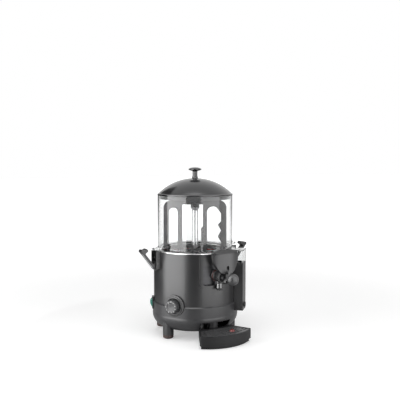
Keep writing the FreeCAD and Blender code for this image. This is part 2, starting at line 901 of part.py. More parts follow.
def tap_lever():
    half = lever_half_width
    fork_gap = clevis_pin_radius + 0.6
    fork_half = 6.2
    low = tap_height - 6
    arm = side_plate([
        (clevis_y - 2.5, pivot_height), (clevis_y - 2.5, tap_height + 16),
        (clevis_y - fork_half, tap_height + 11),
        (clevis_y - fork_half, low), (clevis_y + fork_half, low), (clevis_y + fork_half, tap_height + 11),
        (clevis_y + 5, tap_height + 16), (clevis_y + 5, pivot_height)], -half, half)
    fork = side_plate([
        (clevis_y - fork_gap, low - 1), (clevis_y + fork_gap, low - 1),
        (clevis_y + fork_gap, tap_height + 4), (clevis_y - fork_gap, tap_height + 4)], -half - 1, half + 1)
    hub = cross_cylinder(6.5, half, clevis_y, pivot_height)
    start, reach = lever_reach()
    rod = Part.makeCylinder(lever_rod, reach.Length + 6, start, reach)
    elbow = Part.makeSphere(lever_rod, start)
    pin = cross_cylinder(pivot_radius + running, 20, clevis_y, pivot_height)
    return joined([arm, hub, rod, elbow]).cut([fork, pin])


def lever_knob():
    start, reach = lever_reach()
    rod = Part.makeCylinder(lever_rod, reach.Length + 6, start, reach)
    return Part.makeSphere(ball_radius, start + reach).cut(rod)


def lever_spring():
    """The space that the return spring's coils fill round the pin, beside the lever."""
    start = max(lever_half_width, lever_rod) + sliding
    length = hood_slot_half - start - loose

    def sleeve(radius):
        return Part.makeCylinder(radius, length, V(start, clevis_y, pivot_height), V(1, 0, 0))

    return sleeve(pivot_radius + 1.5).cut(sleeve(pivot_radius + loose))


# Latches, drawn at +X with the lever closed and then opened

def latch_bracket():
    back = block(shell_radius - 15, shell_radius + 2.5, -bracket_half_width, bracket_half_width,
                 bracket_low, bracket_high)
    cheeks = []
    for side in (-1, 1):
        edges = sorted((side * bracket_half_width, side * (bracket_half_width - bracket_wall)))
        cheeks.append(block(shell_radius - 15, bracket_reach, edges[0], edges[1], bracket_low, bracket_high))
    holes = [side_cylinder(latch_pin_radius, 20, latch_pivot_x, latch_pivot_z),
             side_cylinder(latch_pin_radius - 0.7, 20, latch_pivot_x - 3, latch_pivot_z + 14)]
    casing = cylinder(shell_radius, seam_height, bracket_high + 1)
    return joined([back] + cheeks).cut([casing] + holes)


def pivot_pins():
    pivot = side_cylinder(latch_pin_radius, bracket_half_width + 0.8, latch_pivot_x, latch_pivot_z)
    stop = side_cylinder(latch_pin_radius - 0.7, bracket_half_width + 0.8,
                         latch_pivot_x - 3, latch_pivot_z + 14)
    lever = cross_cylinder(pivot_radius, hood_half_width, clevis_y, pivot_height)
    rocker = side_cylinder(rocker_pin_radius, switch_half_width, rocker_pivot, switch_height)
    return [pivot, stop, swung(pivot, 180), swung(stop, 180), lever, swung(rocker, switch_angle)]


def latch_lever():
    def at(x, z):
        return V(latch_pivot_x + x, -latch_half_width, latch_pivot_z + z)
    hook = lug_high - latch_pivot_z + 1.2
    inner = lug_reach + 1.5 - latch_pivot_x
    strap = outline([
        (inner, -12), (inner + 4, -14), (inner + 5.5, -8), (inner + 5.5, 50), (inner + 3.5, 56, "mid"),
        (inner - 1, 56), (inner - 5, 51.5), (-3, 50), (-3, hook + 1.5), (-1, hook), (inner, hook)], at)
    strap = strap.extrude(V(0, 2 * latch_half_width, 0))
    web = block(latch_pivot_x, latch_pivot_x + inner + 1, -latch_half_width, latch_half_width,
                latch_pivot_z - 5, latch_pivot_z + 5)
    boss = side_cylinder(5, latch_half_width, latch_pivot_x, latch_pivot_z)
    pin = side_cylinder(latch_pin_radius + running, 20, latch_pivot_x, latch_pivot_z)
    lever = joined([strap, web, boss]).cut(pin)
    lever.rotate(V(latch_pivot_x, 0, latch_pivot_z), V(0, 1, 0), latch_open_angle)
    return lever


# Controls

def knob_bezel():
    disc = radial_cylinder(bezel_radius, shell_radius - 11, bezel_face - 2, knob_height)
    step = radial_cylinder(bezel_radius - 4, bezel_face - 2, bezel_face, knob_height)
    pocket = radial_cylinder(knob_radius + 2, bezel_face - 8, bezel_face, knob_height)
    hole = radial_cylinder(spindle_radius + loose, shell_radius - 15, bezel_face, knob_height)
    return swung(joined([disc, step]).cut([pocket, hole]), knob_angle)


def thermostat_knob():
    grip = radial_cylinder(knob_radius, bezel_face - 7.5, knob_face, knob_height)
    rim = [e for e in grip.Edges if e.BoundBox.XMin > knob_face - 0.01]
    grip = grip.makeFillet(2, rim)
    spindle = radial_cylinder(spindle_radius, shell_radius - 17, bezel_face - 7, knob_height)
    return swung(joined([grip, spindle]), knob_angle)


def thermostat_body():
    face = shell_radius - 11
    case = block(face - 28, face, -15, 15, knob_height - 15, knob_height + 15)
    case = case.cut(radial_cylinder(spindle_radius + running, face - 7, face, knob_height))
    return swung(case, knob_angle)


def switch_housing():
    case = block(belly_radius - 22, belly_radius + 3, -switch_half_width, switch_half_width,
                 switch_height - switch_half_height, switch_height + switch_half_height)
    pocket = block(belly_radius - 14, belly_radius + 4,
                   -rocker_half_width - sliding, rocker_half_width + sliding,
                   switch_height - rocker_half_height - 1, switch_height + rocker_half_height + 1)
    pin = side_cylinder(rocker_pin_radius, switch_half_width, rocker_pivot, switch_height)
    return swung(case.cut([pocket, pin]), switch_angle)


def switch_rocker():
    body = block(belly_radius - 11, belly_radius + 12, -rocker_half_width, rocker_half_width,
                 switch_height - rocker_half_height, switch_height + rocker_half_height)
    crown = side_cylinder(15.5, rocker_half_width, rocker_pivot - 2, switch_height)
    pin = side_cylinder(rocker_pin_radius + running, 20, rocker_pivot, switch_height)
    rocker = body.common(crown).cut(pin)
    rocker.rotate(V(rocker_pivot, 0, switch_height), V(0, 1, 0), rocker_tilt)
    return swung(rocker, switch_angle)


# Water gauge

def gauge_box(inner, outer, inset, low, high):
    half = gauge_half_width - inset
    return block(inner, outer - inset, -half, half, low, high)


def gauge_housing():
    shell = gauge_box(shell_radius - 10, gauge_reach, 0, gauge_low, gauge_joint)
    hollow = gauge_box(belly_radius + 2, gauge_reach, gauge_wall, gauge_low + gauge_wall, gauge_joint)
    pipe = radial_cylinder(gauge_pipe_radius, bath_radius - 7, belly_radius + 7, gauge_pipe_height)
    housing = shell.cut([hollow, casing_envelope(), pipe])
    return swung(housing, gauge_angle)


def gauge_glass():
    shell = gauge_box(shell_radius - 10, gauge_reach, 0, gauge_joint, gauge_top - 3)
    hollow = gauge_box(belly_radius, gauge_reach, gauge_wall, gauge_joint, gauge_top - 3)
    return swung(shell.cut([hollow, cylinder(shell_radius, gauge_joint, gauge_top)]), gauge_angle)


def gauge_cap():
    cap = gauge_box(shell_radius - 10, gauge_reach, -1, gauge_top - 3, gauge_top)
    return swung(cap.cut(cylinder(shell_radius + 1, gauge_joint, gauge_top)), gauge_angle)


def gauge_pipe():
    start = bath_radius - 7
    end = belly_radius + 3
    pipe = radial_cylinder(gauge_pipe_radius, start, end, gauge_pipe_height)
    pipe = pipe.cut(radial_cylinder(gauge_pipe_radius - 1.5, start, end, gauge_pipe_height))
    tank = cylinder(bath_radius - bath_wall, bath_floor, rim_height)
    return swung(pipe.cut(tank), gauge_angle)


def drain_plug():
    plug = radial_cylinder(7, gauge_reach, gauge_reach + 4, gauge_low + 14)
    return swung(plug, gauge_angle)


def cable_gland():
    face = belly_radius + 3
    flange = radial_cylinder(gland_radius + 3, face - 16, face, gland_height).cut(casing_envelope())
    neck = radial_cylinder(gland_radius, face - 13, face, gland_height)
    bore = radial_cylinder(gland_bore, face - 21, face + 9, gland_height)
    return swung(joined([flange, neck]).cut(bore), gland_angle)


# Drip tray

def tray_outline(inset):
    """The tray's outline drawn inwards by inset: two prongs, sloping sides and a bowed front."""
    side = inset * 1.13
    corner = tray_corner_x - side
    tip = tray_tip_y - inset
    notch = prong_inner_x + inset
    notch_y = tray_back_y + 8 - inset * 0.4
    prong = prong_outer_x - side
    low = tray_corner_y - 4 + inset * 0.8
    return [
        (-prong, tip), (-notch, tip), (-notch, notch_y), (0, tray_back_y - inset, "mid"), (notch, notch_y),
        (notch, tip), (prong, tip), (corner - 3, tray_corner_y + 6), (corner, tray_corner_y + 1, "mid"),
        (corner - 3, low), (0, tray_front_y + inset, "mid"), (-corner + 3, low),
        (-corner, tray_corner_y + 1, "mid"), (-corner + 3, tray_corner_y + 6)]


def tray_prism(inset, low, high):
    return ground_plate(tray_outline(inset), low, high)


ledge_z = tray_high - grille_drop - grille_thickness


def grille_back():
    """The y of the grille's straight back edge, which lifts clear of the belly's fullest part."""
    return -arc_reach(belly(0)) - grille_gap


def behind(y):
    return block(-200, 200, y, 0, 0, tray_high + 10)


def drip_tray():
    outer = tray_prism(0, tray_low, tray_high)
    ahead = block(-100, 100, -250, column_y - sole_width / 2 - 2, 0, tray_low)
    skirt = tray_prism(skirt_inset, 0, tray_low).common(ahead)
    recess = tray_prism(tray_wall, ledge_z, tray_high).cut(behind(grille_back() + sliding))
    hollow = tray_prism(tray_wall + ledge_width, tray_low + tray_wall, ledge_z).cut(
        cylinder(belly_radius + ledge_width, 0, tray_high + 1))
    well = tray_prism(skirt_inset + tray_wall, tray_wall, tray_low + tray_wall).common(
        block(-100, 100, -250, column_y - sole_width / 2 - 2 - tray_wall, 0, tray_low + tray_wall))
    return joined([outer, skirt]).cut([recess, hollow, well, casing_room()])


def slot_arc(radius, half_angle, centre):
    low = ledge_z - 1
    return sector(radius, radius + slot_width, centre, half_angle, low, tray_high + 1)


def drip_grille():
    plate = tray_prism(tray_wall + sliding, ledge_z, ledge_z + grille_thickness).cut(behind(grille_back()))
    field = tray_prism(tray_wall + sliding + 5, ledge_z - 1, tray_high).cut(behind(grille_back() - 2.5))
    boss = cylinder(float_radius + 5, ledge_z - 1, tray_high, float_x, float_y)
    slots = []
    for i in range(6):
        radius = -tray_back_y + 10 + i * slot_pitch
        for centre in (front_angle - 26, front_angle - 9, front_angle + 9, front_angle + 26):
            slots.append(slot_arc(radius, 7, centre))
    for slot in slots:
        plate = plate.cut(slot.common(field).cut(boss))
    return plate.cut(cylinder(float_radius + 0.8, ledge_z - 1, tray_high, float_x, float_y))


def tray_float():
    stem = cylinder(float_radius, tray_wall, tray_high + 3, float_x, float_y)
    top = [e for e in stem.Edges if e.BoundBox.ZMin > tray_high + 2.9]
    return stem.makeFillet(2.5, top)


# Fasteners

def plate_screws():
    screws = []
    for angle in (20, 110, 200, 290):
        x = (base_radius - 22) * math.cos(math.radians(angle))
        y = (base_radius - 22) * math.sin(math.radians(angle))
        screws.append(cylinder(5, base_height - 3, base_height, x, y))
    return screws


def build_all():
    os.makedirs("parts", exist_ok=True)
    for name, make in [
            ("lower_shell", lower_shell), ("upper_shell", upper_shell), ("bottom_plate", bottom_plate),
            ("tray_column", tray_column), ("rim_ring", rim_ring), ("product_tank", product_tank),
            ("bath_tank", bath_tank), ("heating_element", heating_element),
            ("temperature_sensor", temperature_sensor), ("shaft_tube", shaft_tube),
            ("tube_collar", tube_collar), ("drive_shaft", drive_shaft), ("shaft_coupling", shaft_coupling),
            ("drive_head", drive_head), ("gear_motor", gear_motor), ("gearbox", gearbox),
            ("motor_bracket", motor_bracket), ("paddle", paddle), ("bowl", bowl),
            ("bowl_gasket", bowl_gasket), ("lid", lid), ("lid_knob", lid_knob), ("lid_screw", lid_screw),
            ("front_panel", front_panel), ("recess_liner", recess_liner), ("tap_outlet", tap_outlet),
            ("tap_nut", tap_nut), ("tap_o_ring", tap_o_ring), ("tap_body", tap_body),
            ("tap_spout", tap_spout), ("spout_tip", spout_tip), ("tap_piston", tap_piston),
            ("front_hood", front_hood), ("front_shield", front_shield), ("tap_lever", tap_lever),
            ("lever_knob", lever_knob), ("lever_spring", lever_spring), ("knob_bezel", knob_bezel),
            ("thermostat_knob", thermostat_knob), ("thermostat_body", thermostat_body),
            ("switch_housing", switch_housing), ("switch_rocker", switch_rocker),
            ("gauge_housing", gauge_housing), ("gauge_glass", gauge_glass), ("gauge_cap", gauge_cap),
            ("gauge_pipe", gauge_pipe), ("drain_plug", drain_plug), ("cable_gland", cable_gland),
            ("drip_tray", drip_tray), ("drip_grille", drip_grille), ("tray_float", tray_float)]:
        save(name, make())
    for name, make in [("feet", feet), ("foot_pads", foot_pads), ("tube_bushes", tube_bushes),
                       ("piston_seals", piston_seals), ("plate_screws", plate_screws)]:
        save(name, Part.makeCompound(make()))
    brackets = [latch_bracket(), swung(latch_bracket(), 180)]
    save("latch_brackets", Part.makeCompound(brackets))
    save("pivot_pins", Part.makeCompound(pivot_pins()))
    save("right_latch", latch_lever())
    save("left_latch", swung(latch_lever(), 180))


build_all()
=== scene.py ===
import bpy
import bmesh
import json
import math
import numpy as np
from mathutils import Matrix, Vector


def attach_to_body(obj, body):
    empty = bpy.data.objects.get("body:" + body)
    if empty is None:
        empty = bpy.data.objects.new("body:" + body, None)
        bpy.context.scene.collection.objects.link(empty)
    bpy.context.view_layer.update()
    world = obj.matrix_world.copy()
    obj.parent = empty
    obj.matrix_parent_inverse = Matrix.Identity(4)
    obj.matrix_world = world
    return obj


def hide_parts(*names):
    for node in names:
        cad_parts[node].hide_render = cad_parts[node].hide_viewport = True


# Countertop hot drink dispenser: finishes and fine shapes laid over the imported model.

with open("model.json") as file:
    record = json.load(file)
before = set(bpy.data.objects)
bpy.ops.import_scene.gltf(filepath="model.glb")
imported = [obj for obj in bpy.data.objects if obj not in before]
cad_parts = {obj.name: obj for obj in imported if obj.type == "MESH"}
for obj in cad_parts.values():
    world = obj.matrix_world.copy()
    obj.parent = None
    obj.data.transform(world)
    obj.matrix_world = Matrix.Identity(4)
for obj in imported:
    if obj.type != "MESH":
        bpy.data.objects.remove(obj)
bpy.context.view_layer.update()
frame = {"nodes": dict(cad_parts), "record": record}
nodes = frame["nodes"]
mm = 0.001  # the pieces are laid out in millimetres, the room and its lamps in metres


# Node groups that several finishes share

def newGroup(name, inputs, outputs):
    group = bpy.data.node_groups.new(name, "ShaderNodeTree")
    for label, kind, value in inputs:
        socket = group.interface.new_socket(name=label, in_out="INPUT", socket_type=kind)
        socket.default_value = value
    for label, kind in outputs:
        group.interface.new_socket(name=label, in_out="OUTPUT", socket_type=kind)
    start = group.nodes.new("NodeGroupInput")
    end = group.nodes.new("NodeGroupOutput")
    return group, start, end


def addMath(tree, operation, a, b):
    node = tree.nodes.new("ShaderNodeMath")
    node.operation = operation
    for index, value in enumerate((a, b)):
        if isinstance(value, (int, float)):
            node.inputs[index].default_value = value
        elif value is not None:
            tree.links.new(value, node.inputs[index])
    return node.outputs[0]


def addNoise(tree, vector, scale, detail=2.0):
    node = tree.nodes.new("ShaderNodeTexNoise")
    node.inputs["Detail"].default_value = detail
    if isinstance(scale, (int, float)):
        node.inputs["Scale"].default_value = scale
    else:
        tree.links.new(scale, node.inputs["Scale"])
    tree.links.new(vector, node.inputs["Vector"])
    return node.outputs["Fac"]


grainPattern = {"grain": 900.0, "cloud": 14.0, "detail": 3.0}
linePattern = {"lines": 1400.0, "streaks": 220.0, "detail": 2.0, "drift": 0.004}


def makeMouldGrain():
    # fine moulded grain, with a slow cloudiness that marks handling
    p = grainPattern
    group, start, end = newGroup("mouldGrain", [
        ("Grain scale", "NodeSocketFloat", p["grain"]), ("Cloud scale", "NodeSocketFloat", p["cloud"])],
        [("Height", "NodeSocketFloat"), ("Cloud", "NodeSocketFloat")])
    coord = group.nodes.new("ShaderNodeTexCoord")
    grain = addNoise(group, coord.outputs["Object"], start.outputs["Grain scale"], p["detail"])
    cloud = addNoise(group, coord.outputs["Object"], start.outputs["Cloud scale"], p["detail"])
    group.links.new(grain, end.inputs["Height"])
    group.links.new(cloud, end.inputs["Cloud"])
    return group


def makeTurnedLines():
    # brushing that runs round the machine's axis: noise over radius and height, with a slow drift
    # round the turn
    p = linePattern
    group, start, end = newGroup("turnedLines", [("Line scale", "NodeSocketFloat", p["lines"])],
                                 [("Height", "NodeSocketFloat"), ("Streak", "NodeSocketFloat")])
    coord = group.nodes.new("ShaderNodeTexCoord")
    split = group.nodes.new("ShaderNodeSeparateXYZ")
    group.links.new(coord.outputs["Object"], split.inputs[0])
    xx = addMath(group, "MULTIPLY", split.outputs["X"], split.outputs["X"])
    yy = addMath(group, "MULTIPLY", split.outputs["Y"], split.outputs["Y"])
    radius = addMath(group, "SQRT", addMath(group, "ADD", xx, yy), None)
    turn = addMath(group, "ARCTAN2", split.outputs["Y"], split.outputs["X"])
    slowTurn = addMath(group, "MULTIPLY", turn, p["drift"])
    join = group.nodes.new("ShaderNodeCombineXYZ")
    group.links.new(radius, join.inputs[0])
    group.links.new(split.outputs["Z"], join.inputs[1])
    group.links.new(slowTurn, join.inputs[2])
    lines = addNoise(group, join.outputs[0], start.outputs["Line scale"], p["detail"])
    streak = addNoise(group, join.outputs[0], p["streaks"], p["detail"])
    group.links.new(lines, end.inputs["Height"])
    group.links.new(streak, end.inputs["Streak"])
    return group


mouldGrain = makeMouldGrain()
turnedLines = makeTurnedLines()


# Finishes

mouldLook = {"smoother": 0.04, "rougher": 0.05, "bump": 0.5, "coatRoughness": 0.08}
turnLook = {"smoother": 0.05, "rougher": 0.07, "bump": 0.4}
clearLook = {"rougher": 0.02}


def blankMaterial(name):
    material = bpy.data.materials.new(name)
    material.use_nodes = True
    shader = material.node_tree.nodes["Principled BSDF"]
    return material, material.node_tree, shader


def addRange(tree, value, low, high, spread=0.4):
    # a noise within the spread on either side of 0.5 goes from low to high by a smooth step
    node = tree.nodes.new("ShaderNodeMapRange")
    node.interpolation_type = "SMOOTHSTEP"
    node.inputs["From Min"].default_value = 0.5 - spread
    node.inputs["From Max"].default_value = 0.5 + spread
    node.inputs["To Min"].default_value = low
    node.inputs["To Max"].default_value = high
    tree.links.new(value, node.inputs["Value"])
    return node.outputs["Result"]


def addTint(tree, shader, factor, dark, light):
    mix = tree.nodes.new("ShaderNodeMix")
    mix.data_type = "RGBA"
    mix.inputs["A"].default_value = (*dark, 1)
    mix.inputs["B"].default_value = (*light, 1)
    tree.links.new(factor, mix.inputs["Factor"])
    tree.links.new(mix.outputs["Result"], shader.inputs["Base Color"])


def addBump(tree, shader, height, strength, distance):
    bump = tree.nodes.new("ShaderNodeBump")
    bump.inputs["Strength"].default_value = strength
    bump.inputs["Distance"].default_value = distance
    tree.links.new(height, bump.inputs["Height"])
    tree.links.new(bump.outputs["Normal"], shader.inputs["Normal"])


def mouldedFinish(name, colour, roughness, grain=grainPattern["grain"], depth=0.00004,
                  cloud=grainPattern["cloud"], change=0.18, coat=0.0, specular=0.5):
    material, tree, shader = blankMaterial(name)
    group = tree.nodes.new("ShaderNodeGroup")
    group.node_tree = mouldGrain
    group.inputs["Grain scale"].default_value = grain
    group.inputs["Cloud scale"].default_value = cloud
    light = tuple(c * (1 + change) for c in colour)
    dark = tuple(c * (1 - change) for c in colour)
    addTint(tree, shader, addRange(tree, group.outputs["Cloud"], 0, 1), dark, light)
    rough = addRange(tree, group.outputs["Cloud"], roughness - mouldLook["smoother"],
                     roughness + mouldLook["rougher"])
    tree.links.new(rough, shader.inputs["Roughness"])
    addBump(tree, shader, group.outputs["Height"], mouldLook["bump"], depth)
    shader.inputs["Coat Weight"].default_value = coat
    shader.inputs["Coat Roughness"].default_value = mouldLook["coatRoughness"]
    shader.inputs["Specular IOR Level"].default_value = specular
    return material


def turnedFinish(name, colour, roughness, lines=linePattern["lines"], depth=0.00003, change=0.12):
    material, tree, shader = blankMaterial(name)
    group = tree.nodes.new("ShaderNodeGroup")
    group.node_tree = turnedLines
    group.inputs["Line scale"].default_value = lines
    light = tuple(min(1.0, c * (1 + change)) for c in colour)
    dark = tuple(c * (1 - change) for c in colour)
    addTint(tree, shader, addRange(tree, group.outputs["Streak"], 0, 1), dark, light)
    rough = addRange(tree, group.outputs["Height"], roughness - turnLook["smoother"],
                     roughness + turnLook["rougher"])
    tree.links.new(rough, shader.inputs["Roughness"])
    addBump(tree, shader, group.outputs["Height"], turnLook["bump"], depth)
    shader.inputs["Metallic"].default_value = 1.0
    return material


def clearFinish(name, colour, roughness, refraction):
    material, tree, shader = blankMaterial(name)
    group = tree.nodes.new("ShaderNodeGroup")
    group.node_tree = mouldGrain
    shader.inputs["Base Color"].default_value = (*colour, 1)
    rough = addRange(tree, group.outputs["Cloud"], roughness, roughness + clearLook["rougher"])
    tree.links.new(rough, shader.inputs["Roughness"])
    shader.inputs["Transmission Weight"].default_value = 1.0
    shader.inputs["IOR"].default_value = refraction
    return material


mouldedFinishes = {
    "shellBlack": dict(colour=(0.020, 0.020, 0.021), roughness=0.32, grain=1300, depth=0.00002, change=0.06),
    "shellGrey": dict(colour=(0.030, 0.030, 0.032), roughness=0.33, grain=1300, depth=0.00002, change=0.06),
    "glossBlack": dict(colour=(0.014, 0.014, 0.015), roughness=0.2, grain=400, depth=0.00001, coat=0.3),
    "gripBlack": dict(colour=(0.045, 0.045, 0.047), roughness=0.4, grain=900, depth=0.00004),
    "tapBlack": dict(colour=(0.022, 0.022, 0.023), roughness=0.3, grain=700, depth=0.00002),
    "panelBlack": dict(colour=(0.014, 0.014, 0.015), roughness=0.32, grain=1300, depth=0.00002, change=0.06),
    "dialGrey": dict(colour=(0.050, 0.050, 0.052), roughness=0.4, grain=900, depth=0.00003, change=0.08),
    "trayBlack": dict(colour=(0.014, 0.014, 0.015), roughness=0.5, grain=1500, depth=0.00005, specular=0.25),
    "grilleGrey": dict(colour=(0.07, 0.07, 0.072), roughness=0.33, grain=1500, depth=0.00004),
    "paddleGrey": dict(colour=(0.048, 0.048, 0.05), roughness=0.5, grain=1100, depth=0.00004, change=0.1),
    "footRubber": dict(colour=(0.05, 0.028, 0.026), roughness=0.75, grain=700, depth=0.0001),
    "sealRed": dict(colour=(0.62, 0.03, 0.025), roughness=0.4, grain=500, change=0.1),
    "sealBrown": dict(colour=(0.075, 0.014, 0.011), roughness=0.4, grain=500),
    "switchGreen": dict(colour=(0.05, 0.30, 0.23), roughness=0.25, grain=300, depth=0.00001, coat=0.6),
    "floatRed": dict(colour=(0.15, 0.012, 0.012), roughness=0.4, grain=700),
    "markPale": dict(colour=(0.72, 0.72, 0.71), roughness=0.5, grain=900),
    # painted sheen: a light grey for the strip that makes the latch levers' outer faces look lit
    "latchSheenPaint": dict(colour=(0.30, 0.30, 0.31), roughness=0.35, grain=900, change=0.1),
}
turnedFinishes = {
    "steel": dict(colour=(0.62, 0.62, 0.62), roughness=0.24),
    "polishedSteel": dict(colour=(0.62, 0.62, 0.63), roughness=0.18, depth=0.00001, change=0.05),
    "darkSteel": dict(colour=(0.17, 0.17, 0.175), roughness=0.28, depth=0.00001),
    # painted shade: the recess liner is steel, but its colour is darkened near black for the shade inside the
    # recess
    "linerSteelPaintedShade": dict(colour=(0.05, 0.05, 0.052), roughness=0.36, depth=0.00001),
    "spoutSteel": dict(colour=(0.10, 0.10, 0.10), roughness=0.25, depth=0.00001),
    "pinSteel": dict(colour=(0.09, 0.09, 0.09), roughness=0.4, depth=0.00001),
    "castAluminium": dict(colour=(0.5, 0.5, 0.51), roughness=0.45),
    "bronze": dict(colour=(0.6, 0.42, 0.2), roughness=0.35),
}
clearFinishes = {
    "clearBowl": dict(colour=(0.91, 0.917, 0.917), roughness=0.005, refraction=1.47),
}
finishes = {name: mouldedFinish(name, **values) for name, values in mouldedFinishes.items()}
finishes.update({name: turnedFinish(name, **values) for name, values in turnedFinishes.items()})
finishes.update({name: clearFinish(name, **values) for name, values in clearFinishes.items()})

slotFinish = {
    "shell_black": "shellBlack", "shell_grey": "shellGrey", "gloss_black": "glossBlack",
    "paddle_grey": "paddleGrey", "foot_rubber": "footRubber", "seal_red": "sealRed",
    "seal_brown": "sealBrown", "steel": "steel", "polished_steel": "polishedSteel",
    "aluminium": "castAluminium", "brass": "bronze", "clear_plastic": "clearBowl",
    "switch_green": "switchGreen", "float_red": "floatRed"}
nodeFinish = {  # nodes that don't take their slot's usual finish
    "drip_tray": "trayBlack", "drip_grille": "grilleGrey", "recess_liner": "linerSteelPaintedShade",
    "tap_nut": "darkSteel", "tap_spout": "spoutSteel", "lever_knob": "gripBlack",
    "tap_body": "tapBlack", "pivot_pins": "pinSteel", "thermostat_knob": "dialGrey",
    "tap_lever": "gripBlack", "front_panel": "panelBlack"}
nodeSlot = {entry["node"]: entry["material_slot"] for entry in frame["record"]["subparts"]}
bodyNodes = frame["record"]["behaviour"]["bodies"]
nodeBody = {node: body for body, members in bodyNodes.items() for node in members}


def finishOf(node):
    return finishes[nodeFinish.get(node, slotFinish[nodeSlot[node]])]


for nodeName, nodeObject in nodes.items():
    nodeObject.data.materials.clear()
    nodeObject.data.materials.append(finishOf(nodeName))
print("finishes on", len(nodes), "CAD nodes")


# Surfaces worked out on grids

meshRules = {"merge": 1e-6, "tiny": 1e-7, "flatAngle": 0.4, "bevelAngle": 28.0, "flatWeight": 80}


def gridPiece(name, points, closeU, closeV):
    # points is an (m, n, 3) array in millimetres; u runs down the rows and v along them
    rows, columns = points.shape[:2]
    lastRow = rows if closeU else rows - 1
    lastColumn = columns if closeV else columns - 1
    u, v = np.meshgrid(np.arange(lastRow), np.arange(lastColumn), indexing="ij")
    uNext, vNext = (u + 1) % rows, (v + 1) % columns
    here, there = u * columns, uNext * columns
    faces = np.stack([here + v, there + v, there + vNext, here + vNext], axis=-1)
    mesh = bpy.data.meshes.new(name)
    mesh.from_pydata((points.reshape(-1, 3) * mm).tolist(), [], faces.reshape(-1, 4).tolist())
    return finishMesh(name, mesh)


def finishMesh(name, mesh):
    # merges poles and seams, points the faces outwards and shades them smooth
    work = bmesh.new()
    work.from_mesh(mesh)
    bmesh.ops.remove_doubles(work, verts=work.verts, dist=meshRules["merge"])
    bmesh.ops.dissolve_degenerate(work, edges=work.edges, dist=meshRules["tiny"])
    bmesh.ops.recalc_face_normals(work, faces=work.faces)
    work.to_mesh(mesh)
    work.free()
    mesh.shade_smooth()
    piece = bpy.data.objects.new(name, mesh)
    bpy.context.scene.collection.objects.link(piece)
    return piece


def roundedProfile(points, rounding, steps):
    # each corner of a closed outline becomes a quadratic curve that starts the rounding away on both sides;
    # a point is (r, z), or (r, z, a rounding of its own)
    corners = np.array([p[:2] for p in points], float)
    roundings = np.array([p[2] if len(p) > 2 else rounding for p in points], float)
    before, after = np.roll(corners, 1, axis=0) - corners, np.roll(corners, -1, axis=0) - corners
    lengthBefore, lengthAfter = np.linalg.norm(before, axis=1), np.linalg.norm(after, axis=1)
    mostReach = 0.45  # of the shorter side
    reach = np.minimum(roundings, mostReach * np.minimum(lengthBefore, lengthAfter))
    start = corners + before / lengthBefore[:, None] * reach[:, None]
    end = corners + after / lengthAfter[:, None] * reach[:, None]
    t = np.linspace(0, 1, steps)[None, :, None]
    curve = (1 - t) ** 2 * start[:, None] + 2 * t * (1 - t) * corners[:, None] + t ** 2 * end[:, None]
    return curve.reshape(-1, 2)


def turnedPiece(name, points, rounding=0.6, segments=128, flutes=None, place=None, steps=4):
    # a closed (r, z) outline carried round the Z axis; flutes is (count, depth, fromRadius), and beyond that
    # radius they take away the depth times half of one plus the cosine of count times the turn
    outline = roundedProfile(points, rounding, steps)
    outline[:, 0] = np.maximum(outline[:, 0], 0)
    turn = np.linspace(0, 2 * np.pi, segments, endpoint=False)
    r = outline[:, 0][:, None] * np.ones(segments)
    if flutes:
        count, depth, fromRadius = flutes
        r = np.where(r > fromRadius, r - depth * (0.5 + 0.5 * np.cos(count * turn))[None, :], r)
    z = outline[:, 1][:, None] * np.ones(segments)
    grid = np.stack([r * np.cos(turn), r * np.sin(turn), z], axis=-1)
    if place is not None:
        grid = placed(grid, place)
    return gridPiece(name, grid, True, True)


def placed(grid, place):
    # moves a grid by a 4 x 4 matrix in millimetres
    matrix = np.array(place)
    return grid @ matrix[:3, :3].T + matrix[:3, 3]


def alongAxis(direction, origin):
    # the matrix that turns +Z onto a direction and starts at an origin
    turn = Vector(direction).to_track_quat("Z", "Y").to_matrix().to_4x4()
    return Matrix.Translation(Vector(origin)) @ turn


def radialPlace(angle, height):
    # the matrix whose +Z points out from the machine's axis at an angle and a height, and whose +Y is up
    a = math.radians(angle)
    outward = Vector((math.cos(a), math.sin(a), 0))
    side = Vector((-math.sin(a), math.cos(a), 0))
    matrix = Matrix((side, Vector((0, 0, 1)), outward)).transposed().to_4x4()
    matrix.translation = Vector((0, 0, height))
    return matrix


def roundedCopy(name, node, width, segments=3):
    # a copy of a CAD node with its flats joined up and its edges eased
    mesh = nodes[node].data.copy()
    work = bmesh.new()
    work.from_mesh(mesh)
    bmesh.ops.remove_doubles(work, verts=work.verts, dist=meshRules["merge"])
    flat = math.radians(meshRules["flatAngle"])
    bmesh.ops.dissolve_limit(work, angle_limit=flat, verts=work.verts, edges=work.edges)
    work.to_mesh(mesh)
    work.free()
    mesh.shade_smooth()
    piece = bpy.data.objects.new(name, mesh)
    bpy.context.scene.collection.objects.link(piece)
    bevel = piece.modifiers.new("easedEdges", "BEVEL")
    bevel.width = width * mm
    bevel.segments = segments
    bevel.limit_method = "ANGLE"
    bevel.angle_limit = math.radians(meshRules["bevelAngle"])
    bevel.miter_outer = "MITER_ARC"
    normals = piece.modifiers.new("flatFaces", "WEIGHTED_NORMAL")
    normals.keep_sharp = True
    normals.weight = meshRules["flatWeight"]
    return settle(piece, node)


def settle(piece, node, extra=()):
    # the piece stands for a node, and for any extra ones: same body, the finish of the node's slot
    piece.data.materials.clear()
    piece.data.materials.append(finishOf(node))
    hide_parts(node, *extra)
    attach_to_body(piece, nodeBody[node])
    return piece


def attach(piece, body, finish):
    # the piece is a detail that stands for no node
    piece.data.materials.clear()
    piece.data.materials.append(finishes[finish])
    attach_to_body(piece, body)
    return piece


# Casing

casing = {"edge": 0.8, "panelEdge": 1.4, "footEdge": 1.2, "postEdge": 1.2}
roundedCopy("upperCasing", "upper_shell", casing["edge"])
roundedCopy("lowerCasing", "lower_shell", casing["edge"])
roundedCopy("frontPanelSkin", "front_panel", casing["panelEdge"])
roundedCopy("footColumns", "feet", casing["footEdge"])
roundedCopy("trayPost", "tray_column", casing["postEdge"])
print("casing eased")

